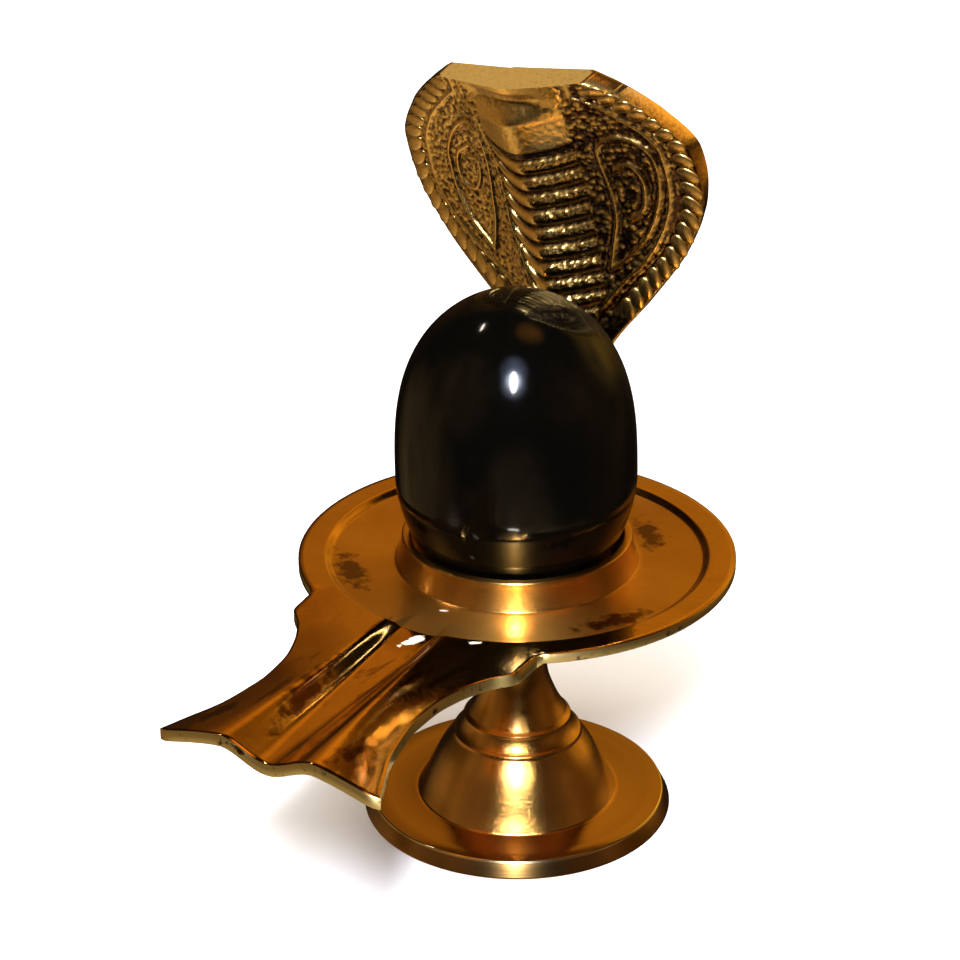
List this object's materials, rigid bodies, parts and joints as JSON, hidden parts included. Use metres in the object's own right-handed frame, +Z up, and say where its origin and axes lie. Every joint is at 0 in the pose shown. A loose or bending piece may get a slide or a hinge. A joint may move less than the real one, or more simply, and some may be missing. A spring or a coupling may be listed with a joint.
{
  "type": "shiva lingam",
  "caption": "Black stone lingam in the collar of a round brass dish with a flared spout, on a turned bell foot, with a ribbed cobra hood rising behind.",
  "frame": {"origin": "under the middle of the whole length, spout end to rim, on the plane the foot stands on", "axes": "+Z up, -Y along the spout, so +X is on the right when the spout points at the viewer"},
  "size_m": [0.085, 0.1274, 0.1497],
  "materials": {
    "turned_brass": "turned and polished, with fine lathe rings and pits",
    "polished_brass": "mirror polished, with brown tarnish and filed pale edges",
    "polished_black_stone": "polished black",
    "cast_brass": "cast and chased, with dark patina in the ground"
  },
  "bodies": {
    "root": {"foot": "turned_brass", "yoni_plate": "polished_brass", "lingam": "polished_black_stone", "cobra_hood": "cast_brass"}
  },
  "joints": []
}
